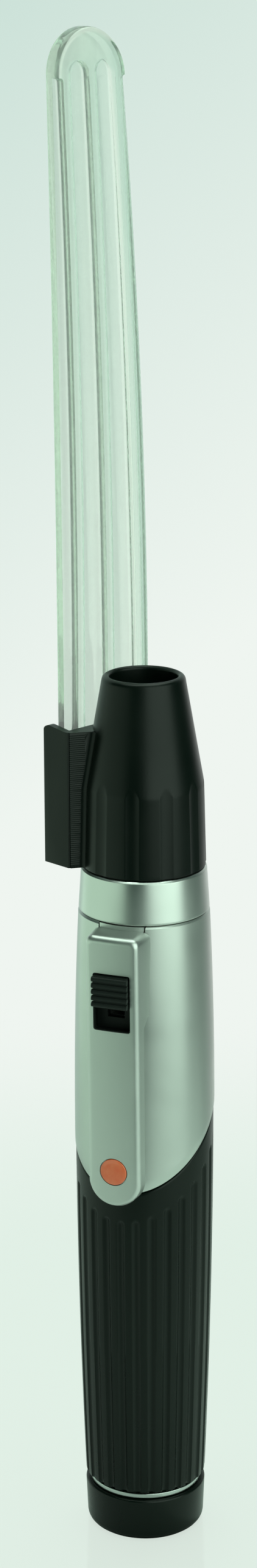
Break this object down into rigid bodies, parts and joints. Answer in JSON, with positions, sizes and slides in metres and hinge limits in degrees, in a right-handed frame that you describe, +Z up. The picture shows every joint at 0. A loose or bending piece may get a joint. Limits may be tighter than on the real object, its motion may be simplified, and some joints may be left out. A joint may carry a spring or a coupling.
{
  "type": "diagnostic penlight",
  "caption": "Upright battery-handle examination lamp with a screw-on black nose, a side pocket that holds a clear ribbed tongue blade, a sliding thumb switch and a pocket clip.",
  "frame": {"origin": "centre of the flat base of the end cap, on the handle's axis", "axes": "+Z up along the handle's axis; the pocket clip and the switch face -Y; the blade pocket points to the azimuth 156 degrees"},
  "size_m": [0.0277, 0.0317, 0.2559],
  "materials": {
    "upper_shell": "satin silver",
    "grip_sleeve": "satin black, fluted",
    "battery_tube": "plain drawn tube",
    "tail_ring": "bright turned",
    "switch_base": "matt black",
    "contact_strip": "spring strip",
    "pocket_clip": "satin silver",
    "badge_disc": "orange-red, plain",
    "thumb_slider": "satin black, ridged",
    "slider_contact": "plain",
    "lamp_nose": "satin black",
    "collar": "satin silver, bright edge",
    "thread_sleeve": "turned",
    "bulb_insulator": "cream",
    "centre_contact": "turned",
    "bulb_sleeve": "bright",
    "bulb_glass": "clear",
    "front_lens": "clear",
    "lens_ring": "black",
    "tongue_blade": "clear, faint green",
    "lower_cell": "plain wrapped can",
    "upper_cell": "plain wrapped can",
    "cap_contact": "bright",
    "battery_spring": "bright wire",
    "end_cap": "satin black"
  },
  "bodies": {
    "handle": {"upper_shell": "upper_shell", "grip_sleeve": "grip_sleeve", "battery_tube": "battery_tube", "tail_ring": "tail_ring", "switch_base": "switch_base", "contact_strip": "contact_strip"},
    "clip": {"pocket_clip": "pocket_clip", "badge_disc": "badge_disc"},
    "switch": {"thumb_slider": "thumb_slider", "slider_contact": "slider_contact"},
    "plunger": {"centre_contact": "centre_contact"},
    "head": {"lamp_nose": "lamp_nose", "collar": "collar", "thread_sleeve": "thread_sleeve", "bulb_insulator": "bulb_insulator", "bulb_sleeve": "bulb_sleeve", "bulb_glass": "bulb_glass", "front_lens": "front_lens", "lens_ring": "lens_ring"},
    "blade": {"tongue_blade": "tongue_blade"},
    "battery_stack": {"lower_cell": "lower_cell", "upper_cell": "upper_cell", "cap_contact": "cap_contact", "battery_spring": "battery_spring"},
    "cap": {"end_cap": "end_cap"}
  },
  "joints": [
    {"name": "switch_slide", "type": "slide", "parent": "handle", "child": "switch", "axis": [0, 0, -1], "range_m": [0, 0.0034]},
    {"name": "clip_flex", "type": "hinge", "parent": "handle", "child": "clip", "pos_m": [0, -0.0105, 0.1125], "axis": [-1, 0, 0], "range_deg": [0, 3], "stiffness_Nm_per_rad": 1.5},
    {"name": "head_lift", "type": "slide", "parent": "handle", "child": "plunger", "axis": [0, 0, 1], "range_m": [0, 0.009]},
    {"name": "head_turn", "type": "hinge", "parent": "plunger", "child": "head", "pos_m": [0, 0, 0.1134], "axis": [0, 0, 1], "range_deg": [0, 2162]},
    {"name": "blade_slide", "type": "slide", "parent": "head", "child": "blade", "axis": [0, 0, 1], "range_m": [0, 0.024]},
    {"name": "cap_drop", "type": "slide", "parent": "handle", "child": "battery_stack", "axis": [0, 0, -1], "range_m": [0, 0.0048]},
    {"name": "cap_turn", "type": "hinge", "parent": "battery_stack", "child": "cap", "pos_m": [0, 0, 0], "axis": [0, 0, -1], "range_deg": [0, 1442]}
  ],
  "couplings": [
    {"joint": "head_turn", "follows": "head_lift", "rad_per_m": 4188.8},
    {"joint": "cap_turn", "follows": "cap_drop", "rad_per_m": 5236}
  ]
}
